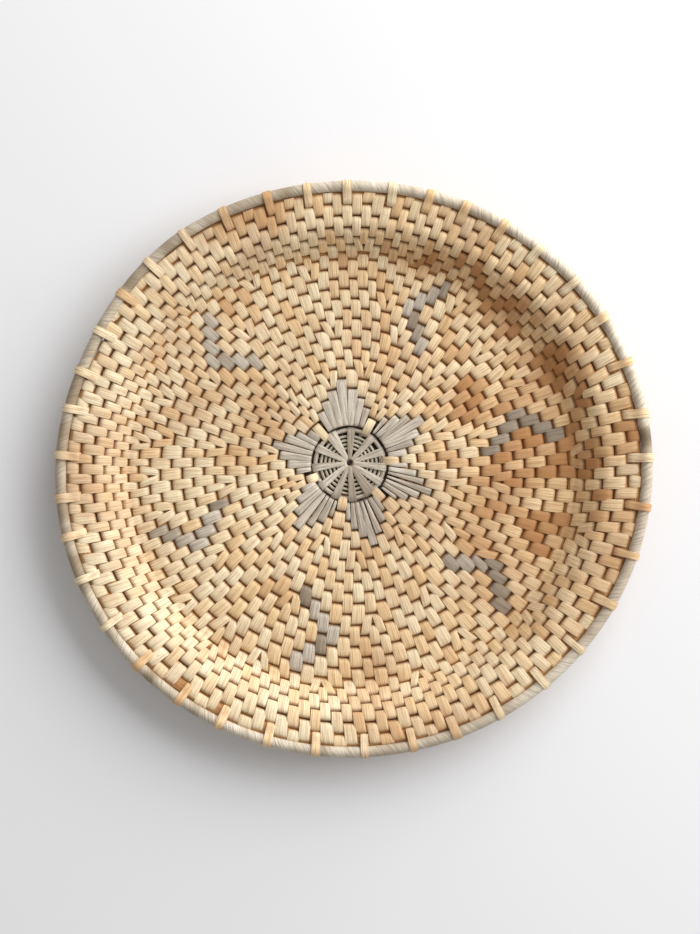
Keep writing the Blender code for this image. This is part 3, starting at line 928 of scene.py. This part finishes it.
def make_start_ring(material):
    """The wrapped ring that the spokes end on."""
    item, along, around = sheet("start_ring_wrap", 240, 12)
    angle = along * math.tau
    half = START_RING_WIDTH / 2
    points = tube_points(place(angle, START_RING_BORE + half, COIL_MIDDLE), 0.0, angle, around, half)
    roll_up(item, points, math.tau * (START_RING_BORE + half), math.tau * half)
    finish_piece(item, "grey_splint", material, "start_ring")


def make_rim(material):
    """The rim's coil, wound with fine strand."""
    item, along, around = sheet("rim_coil_wrapped", RIM_WRAPS * RIM_STEPS_PER_WRAP, RIM_SIDES)
    angle = along * math.tau
    wrap = np.abs(np.sin(along * RIM_WRAPS * math.pi))
    radius = RIM_RADIUS * RIM_FULLNESS * (1.0 - WRAP_GROOVE * (1.0 - wrap))
    middle = place(angle, *rim_round(angle))
    points = tube_points(middle, math.radians(LIP_SLOPE), angle, around, radius)
    # Random mottling, drawn paler towards the top and bottom, plus painted shade darkening the left side,
    # away from the light.
    mottling_and_shade = 0.55 + 0.2 * np.sin(11.0 * angle + 1.0) + 0.2 * np.sin(29.0 * angle)
    mottling_and_shade += 0.15 * np.sin(67.0 * angle) - 0.3 * np.sin(angle) ** 2
    mottling_and_shade += 0.32 * np.cos(angle - math.radians(RIM_SHADED_SIDE_ANGLE))
    # A real worn spot; it goes through the same mask as the painted end shade.
    wear_and_end_shade = np.exp(-((wrapped(angle - math.radians(RIM_STAIN_ANGLE)) / math.radians(1.8)) ** 2))
    roll_up(
        item, points, math.tau * BOWL_RADIUS, math.tau * RIM_RADIUS,
        tint=np.clip(mottling_and_shade + wear_and_end_shade, 0.0, 1.0), dark=0.8 * wear_and_end_shade, wound=True,
    )
    finish_piece(item, "grey_strand", material, "rim_ring")


# Spokes and lashings: strips bent in one upright plane.

SPOKE_RUN = (
    (0.0020, -0.0008), (0.0023, 0.0004), (0.0031, 0.0011), (0.0047, 0.0012), (0.0180, 0.00125),
    (0.0200, 0.00145), (0.0212, 0.00152), (0.0222, 0.00125), (0.0228, 0.0003),
)
DOUBLED_SPOKES = (120, 302)
SPOKE_FULLNESS = 1.15
SPOKE_THICKNESS = 0.0005
SPOKE_STEP = 0.00012
# How much further in and wider the backs reach: a dark sheet behind the eye and the windows, where there is
# shade.
SPOKE_BACK_REACH = 0.0015
SPOKE_BACK_EXTRA = 0.0034
LASHING_RUN = (
    (-0.00715, 0.0006), (-0.0069, 0.0019), (-0.0062, 0.0029), (-0.0050, 0.00335),
    (-0.0015, 0.00348), (0.0004, 0.0038), (0.0018, 0.0044), (0.0037, 0.0048), (0.0056, 0.0043),
    (0.0070, 0.0029), (0.0075, 0.0010), (0.0070, -0.0009), (0.0056, -0.0023),
    (0.0037, -0.0028), (0.0016, -0.0027), (-0.0015, -0.0033), (-0.0050, -0.0032),
    (-0.0063, -0.0028), (-0.0070, -0.0017), (-0.00715, -0.0006),
)


def along_run(run, share):
    """Places and outer normals along an upright run of knots."""
    knots = np.array(run)
    steps = np.linalg.norm(np.diff(knots, axis=0), axis=1)
    length = np.concatenate([[0.0], np.cumsum(steps)])
    at = share * length[-1]
    across = np.interp(at, length, knots[:, 0])
    height = np.interp(at, length, knots[:, 1])
    nudge = length[-1] * 0.012
    before = np.clip(at - nudge, 0.0, length[-1])
    after = np.clip(at + nudge, 0.0, length[-1])
    run_across = np.interp(after, length, knots[:, 0]) - np.interp(before, length, knots[:, 0])
    run_height = np.interp(after, length, knots[:, 1]) - np.interp(before, length, knots[:, 1])
    size = np.hypot(run_across, run_height)
    return across, height, -run_height / size, run_across / size, length[-1]


def spoke_copy(blank, degrees, lift, back=False):
    """A spoke from the eye to the ring, over or under the fine coil."""
    share, side, crown = blank[0].T
    radius, height, normal_out, normal_up, length = along_run(SPOKE_RUN, share)
    thickness = SPOKE_THICKNESS * crown + lift
    radius = radius + normal_out * thickness
    height = height + normal_up * thickness
    half = SPOKE_HALF_AT_EYE + (SPOKE_HALF_OUTSIDE - SPOKE_HALF_AT_EYE) * share
    half = half * SPOKE_FULLNESS
    if back:
        height = -height
        side = -side
        # The backs reach further into the eye and widen outward as a dark sheet behind the windows.
        radius = radius - SPOKE_BACK_REACH * (1.0 - share)
        half = half + share * SPOKE_BACK_EXTRA
    angle = math.radians(degrees)
    across = half * side
    centre = place(np.full_like(radius, angle), radius, COIL_MIDDLE + height)
    points = centre + np.outer(across, (-math.sin(angle), math.cos(angle), 0.0))
    seed = RANDOM.random()
    # Painted shade on the backs' sides and inner ends, where they show through the eye and the windows.
    shaded = 1.3 * ((crown < 0.1) | (share < 0.25)) if back else 0.0
    return bent_copy(points, share, side, across, length, RANDOM.random(), shaded, seed)


def make_spokes(blank, material):
    """Grey splint wound through the eye, seen as spokes on both sides."""
    copies = []
    for number, degrees in enumerate(SPOKE_ANGLES):
        lift = SPOKE_STEP * (number % 3)
        copies.append(spoke_copy(blank, degrees, lift))
        copies.append(spoke_copy(blank, degrees, lift, back=True))
        if degrees in DOUBLED_SPOKES:
            copies.append(spoke_copy(blank, degrees + 6.0, lift + 0.0002))
    strip_piece("centre_spokes", blank, copies, "grey_splint", material, "centre_wrap")


def lashing_copy(blank, degrees):
    """A flat lashing round the rim's coil and the last row."""
    share, side, crown = blank[0].T
    reach, height, normal_out, normal_up, length = along_run(LASHING_RUN, share)
    reach = reach + normal_out * SPLINT_THICKNESS * crown
    height = height + normal_up * SPLINT_THICKNESS * crown
    slope = math.radians(LIP_SLOPE)
    angle = math.radians(degrees)
    edge_radius, edge_height = line_at(ROWS + turn_fraction(angle))
    radius = edge_radius + reach * math.cos(slope) - height * math.sin(slope)
    level = edge_height + COIL_MIDDLE + reach * math.sin(slope) + height * math.cos(slope)
    across = side * LASHING_HALF * RANDOM.uniform(*LASHING_WIDTHS)
    centre = place(np.full_like(radius, angle), radius, level)
    slant = (share - 0.3) * RANDOM.normal(0.0, LASHING_SLANT)
    points = centre + np.outer(across + slant, (-math.sin(angle), math.cos(angle), 0.0))
    seed = RANDOM.random()
    tint = LASHING_TINT_REACH * RANDOM.random() ** LASHING_TINT_POWER
    return bent_copy(points, share, side, across, length, tint, 0.0, seed)


def make_lashings(blank, material):
    """The lashings, one piece each."""
    for number, degrees in enumerate(LASHING_ANGLES, start=1):
        node = f"rim_lashing_{number:02d}"
        copies = [lashing_copy(blank, degrees)]
        strip_piece(f"lashing_{number:02d}", blank, copies, "straw_splint", material, node)


def strip_piece(name, blank, copies, slot, material, *nodes):
    """One piece made of bent strips."""
    start_shape()
    item = new_object(name, joined_mesh(name, blank, copies))
    item.select_set(True)
    bpy.context.view_layer.objects.active = item
    bpy.ops.object.shade_smooth_by_angle(angle=math.radians(48))
    finish_piece(item, slot, material, *nodes)


def new_object(name, data):
    """Put an object in the scene."""
    item = bpy.data.objects.new(name, data)
    bpy.context.scene.collection.objects.link(item)
    return item


def finish_piece(item, slot, material, *nodes):
    """Give a piece its finish and its body, and hide the nodes that it stands for."""
    item.data.materials.clear()
    item.data.materials.append(material)
    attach(item, "root")
    if nodes:
        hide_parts(*nodes)


def make_stitches(blank, straw, grey):
    """Every stitch, on the face and on the back."""
    pieces = {}
    stitches = sew()
    for back in (False, True):
        for stitch in stitches:
            name = back_name(stitch) if back else piece_name(stitch)
            pieces.setdefault(name, []).append(strip_copy(blank, stitch, back))
    for name, copies in pieces.items():
        nodes = [name.replace("_strips", "")] if name.endswith("_strips") else []
        if nodes or "grey" in name:
            strip_piece(name, blank, copies, "grey_splint", grey, *nodes)
        else:
            strip_piece(name, blank, copies, "straw_splint", straw)


def band_name(turn):
    """Part of the basket that a stitch lies in."""
    if turn < WALL_FIRST_TURN:
        return "base_stitches"
    return "wall_stitches" if turn < LIP_FIRST_TURN else "lip_stitches"


def back_name(stitch):
    """Name of the piece that a stitch of the back belongs to."""
    return "back_" + ("grey_stitches" if "_" in stitch["kind"] else band_name(stitch["turn"]))


def piece_name(stitch):
    """Name of the piece that a stitch of the face belongs to."""
    kind = stitch["kind"]
    if kind.startswith("petal"):
        return "star_" + kind + "_strips"
    if kind.startswith("figure"):
        return "stepped_" + kind + "_strips"
    if kind == "starter":
        return "starter_stitches"
    return band_name(stitch["turn"])


# Materials.


def linear(red, green, blue):
    """Colour given as it looks on a screen, from 0 to 255."""
    channels = []
    for value in (red, green, blue):
        value /= 255.0
        channels.append(value / 12.92 if value <= 0.04045 else ((value + 0.055) / 1.055) ** 2.4)
    return (*channels, 1.0)


def feed(tree, added, values):
    """Give a node's inputs what they take: the socket of another node or a plain value."""
    for name, value in values.items():
        if isinstance(value, bpy.types.NodeSocket):
            tree.links.new(value, added.inputs[name])
        else:
            added.inputs[name].default_value = value


def node(tree, kind, at, values=None, **settings):
    """Add a shader node at a place in the editor, with its settings and inputs."""
    added = tree.nodes.new("ShaderNode" + kind)
    added.location = (at[0] * 200, at[1] * 200)
    for name, value in settings.items():
        setattr(added, name, value)
    feed(tree, added, values or {})
    return added


def mix_colour(tree, at, factor, first, second):
    """Mix two colours."""
    return node(tree, "Mix", at, {0: factor, 6: first, 7: second}, data_type="RGBA").outputs[2]


def math_node(tree, at, operation, *operands):
    """One arithmetic step."""
    return node(tree, "Math", at, dict(enumerate(operands)), operation=operation).outputs[0]


def group_tree(name, inputs, outputs):
    """Empty shader group: a vector and a number come in, numbers go out."""
    tree = bpy.data.node_groups.new(name, "ShaderNodeTree")
    for socket, kind in zip(inputs, ("NodeSocketVector", "NodeSocketFloat")):
        tree.interface.new_socket(socket, in_out="INPUT", socket_type=kind)
    for socket in outputs:
        tree.interface.new_socket(socket, in_out="OUTPUT", socket_type="NodeSocketFloat")
    source = tree.nodes.new("NodeGroupInput")
    target = tree.nodes.new("NodeGroupOutput")
    source.location = (-800, 0)
    target.location = (1200, 0)
    return tree, source, target


def fibre_group():
    """Lengthwise plant fibres: fine streaks for colour and ribs for relief."""
    tree, source, target = group_tree("plant_fibres", ("Strand", "Fineness"), ("Streaks", "Ribs"))
    strand, fineness = source.outputs["Strand"], source.outputs["Fineness"]
    results = []
    for row, stretch in enumerate(((0.04, 0.85, 1.0), (0.09, 2.6, 1.0))):
        scaled = node(tree, "VectorMath", (-3, row * 2), {0: strand, 1: stretch}, operation="MULTIPLY")
        values = {0: scaled.outputs[0], "Scale": fineness}
        fine = node(tree, "VectorMath", (-2, row * 2), values, operation="SCALE")
        values = {"Vector": fine.outputs[0], "Scale": 1.0, "Detail": 3.0, "Roughness": 0.6}
        results.append(node(tree, "TexNoise", (-1, row * 2), values).outputs["Fac"])
    total = math_node(tree, (1, 0), "ADD", *results)
    streaks = math_node(tree, (2, 0), "MULTIPLY_ADD", total, 3.0, -2.65)
    streaks.node.use_clamp = True
    feed(tree, target, {"Streaks": streaks, "Ribs": math_node(tree, (2, 2), "MULTIPLY", total, 0.5)})
    return tree


def age_group():
    """Large soft patches of handling and sun, and fine specks, over the whole basket."""
    tree, source, target = group_tree("age_patches", ("Place", "Size"), ("Patches", "Specks"))
    where, size = source.outputs["Place"], source.outputs["Size"]
    values = {"Vector": where, "Detail": 2.0}
    broad = node(tree, "TexNoise", (-2, 0), {**values, "Scale": size, "Roughness": 0.5})
    fine = node(tree, "TexNoise", (-2, 2), {**values, "Scale": 900.0})
    for row, name, noise, low, high in ((0, "Patches", broad, 0.48, 0.72), (2, "Specks", fine, 0.62, 0.74)):
        values = {"Value": noise.outputs["Fac"], "From Min": low, "From Max": high}
        feed(tree, target, {name: node(tree, "MapRange", (0, row), values).outputs["Result"]})
    return tree


# Shares of the colours that are mixed in, and how fast the painted shade darkens the ends and sides.
PATCH_SHARE = 0.6
STREAK_SHARE = 0.68
SPECK_SHARE = 0.35
SIDE_SHARE = 0.15
END_POWER = 1.75
SIDE_POWER = 12.0
MIDDLE_TONE = 0.62
PATCH_SIZE = 16.0


def splint_material(name, groups, tones, fineness, relief=0.6, end_dark=0.75):
    """Split plant strip: tones are pale, middle, deep, streak and crevice colours; the crevice colour is
    painted shade at the ends and sides, and also the rim's worn spot.
    """
    pale, middle, deep, streak, crevice = (linear(*tone) for tone in tones)
    material = bpy.data.materials.new(name)
    material.use_nodes = True
    tree = material.node_tree
    uv = node(tree, "UVMap", (-6, 0), uv_map="strand")
    looks = node(tree, "Attribute", (-6, 3), attribute_name="looks")
    where = node(tree, "TexCoord", (-6, -3))
    tint, to_end, to_side = node(tree, "SeparateColor", (-5, 3), {0: looks.outputs["Color"]}).outputs
    values = {0: uv.outputs[0], "Fineness": fineness}
    fibres = node(tree, "Group", (-4, 0), values, node_tree=groups["fibres"]).outputs
    values = {0: where.outputs["Object"], "Size": PATCH_SIZE}
    ages = node(tree, "Group", (-4, -3), values, node_tree=groups["age"]).outputs
    ramp = node(tree, "ValToRGB", (-4, 3), {0: tint})
    stops = ramp.color_ramp.elements
    stops[0].color = pale
    stops[1].position, stops[1].color = MIDDLE_TONE, middle
    stops.new(1.0).color = deep
    aged = math_node(tree, (-2, -2), "MULTIPLY", ages["Patches"], PATCH_SHARE)
    lines = math_node(tree, (-2, 0), "MULTIPLY", fibres["Streaks"], STREAK_SHARE)
    specks = math_node(tree, (-2, -4), "MULTIPLY", ages["Specks"], SPECK_SHARE)
    # Painted shade in the crevice colour towards the ends and the long sides; on the rim the same mask
    # carries its worn spot.
    near_end = math_node(tree, (-2, 4), "POWER", to_end, END_POWER)
    near_side = math_node(tree, (-2, 5), "POWER", to_side, SIDE_POWER)
    wear_and_end_shade = math_node(tree, (-1, 4), "MULTIPLY", near_end, end_dark)
    sides = math_node(tree, (-1, 5), "MULTIPLY", near_side, SIDE_SHARE)
    dark = math_node(tree, (0, 4), "MAXIMUM", wear_and_end_shade, sides)
    colour = ramp.outputs[0]
    layers = ((aged, deep), (lines, streak), (specks, streak), (dark, crevice))
    for column, (factor, tone) in enumerate(layers):
        colour = mix_colour(tree, (column - 1, 2), factor, colour, tone)
    rough = node(tree, "MapRange", (3, 0), {"Value": fibres["Streaks"], "To Min": 0.52, "To Max": 0.78})
    values = {"Height": fibres["Ribs"], "Strength": relief, "Distance": 0.0004}
    bump = node(tree, "Bump", (3, -2), values)
    shader = tree.nodes["Principled BSDF"]
    shader.location = (1400, 0)
    feed(tree, shader, {
        "Base Color": colour, "Roughness": rough.outputs["Result"],
        "Normal": bump.outputs[0], "Specular IOR Level": 0.35,
    })
    return material


def floor_material():
    """Pale even floor."""
    material = bpy.data.materials.new("pale_floor")
    material.use_nodes = True
    shader = material.node_tree.nodes["Principled BSDF"]
    shader.inputs["Base Color"].default_value = linear(241, 242, 245)
    shader.inputs["Roughness"].default_value = 0.9
    return material


# Floor, light and camera.

CAMERA_PLACE = Vector((-0.0069, 0.0093, 1.128))
CAMERA_TARGET = Vector((-0.0025, 0.0014, 0.012))
CAMERA_LENS = 69.5


def make_stage():
    """Pale floor, soft light from the upper right, and the camera."""
    start_shape()
    bpy.ops.mesh.primitive_plane_add(size=6)
    floor = bpy.context.object
    floor.name = "floor"
    floor.data.materials.append(floor_material())
    world = bpy.context.scene.world or bpy.data.worlds.new("world")
    bpy.context.scene.world = world
    world.use_nodes = True
    background = world.node_tree.nodes["Background"]
    background.inputs["Color"].default_value = (1.0, 0.98, 0.955, 1.0)
    background.inputs["Strength"].default_value = 0.385
    add_lamp("key_light", (1.24, 1.06, 0.74), 2.3, 71.5, (1.0, 0.993, 0.985))
    add_camera()


def add_lamp(name, at, size, power, colour):
    """Square soft lamp that looks at the basket."""
    lamp = bpy.data.lights.new(name, "AREA")
    lamp.size = size
    lamp.energy = power
    lamp.color = colour
    item = new_object(name, lamp)
    item.location = at
    item.rotation_euler = (-Vector(at)).to_track_quat("-Z", "Y").to_euler()


def add_camera():
    """Camera nearly straight above, with the top of the picture towards +Y."""
    data = bpy.data.cameras.new("camera")
    data.lens = CAMERA_LENS
    data.sensor_width = 36.0
    data.clip_start = 0.05
    data.clip_end = 20.0
    camera = new_object("camera", data)
    forward = (CAMERA_TARGET - CAMERA_PLACE).normalized()
    right = forward.cross(Vector((0.0, 1.0, 0.0))).normalized()
    upward = right.cross(forward)
    axes = Matrix((right, upward, -forward)).transposed().to_4x4()
    camera.matrix_world = Matrix.Translation(CAMERA_PLACE) @ axes
    bpy.context.scene.camera = camera


def make_materials():
    """The basket's finishes."""
    groups = {"fibres": fibre_group(), "age": age_group()}
    straw = splint_material("straw_splint", groups, (
        (255, 240, 204), (250, 217, 168), (194, 143, 95), (164, 110, 58), (118, 56, 14),
    ), fineness=1.2)
    grey = splint_material("grey_splint", groups, (
        (240, 229, 211), (208, 194, 175), (166, 149, 129), (96, 80, 64), (46, 31, 22),
    ), fineness=1.3)
    strand = splint_material("grey_strand", groups, (
        (241, 229, 210), (212, 198, 175), (170, 151, 126), (128, 112, 92), (66, 48, 34),
    ), fineness=1.3, relief=0.8)
    grass = splint_material("grass_coil", groups, (
        (218, 170, 112), (196, 144, 88), (162, 108, 58), (120, 70, 30), (34, 18, 9),
    ), fineness=1.3, end_dark=1.0)
    loops = splint_material("pale_strand", groups, (
        (226, 216, 198), (206, 194, 174), (176, 160, 138), (120, 100, 76), (50, 38, 28),
    ), fineness=1.8)
    return straw, grey, strand, grass, loops


def main():
    """Dress the whole basket."""
    straw, grey, strand, grass, loops = make_materials()
    blank = strip_blank(len(STATIONS) - 2)
    long_blank = strip_blank(21)
    make_core("base_coil_core", "base_coil", COIL_FIRST_TURN, SPLICE_TURN, grass)
    make_core("wall_coil_core", "wall_coil", SPLICE_TURN, COIL_LAST_TURN, grass)
    make_start_loops(loops)
    make_start_ring(grey)
    make_spokes(blank, grey)
    make_rim(strand)
    make_lashings(long_blank, straw)
    make_stitches(blank, straw, grey)
    make_stage()


main()
bpy.context.scene.view_settings.view_transform = "Standard"
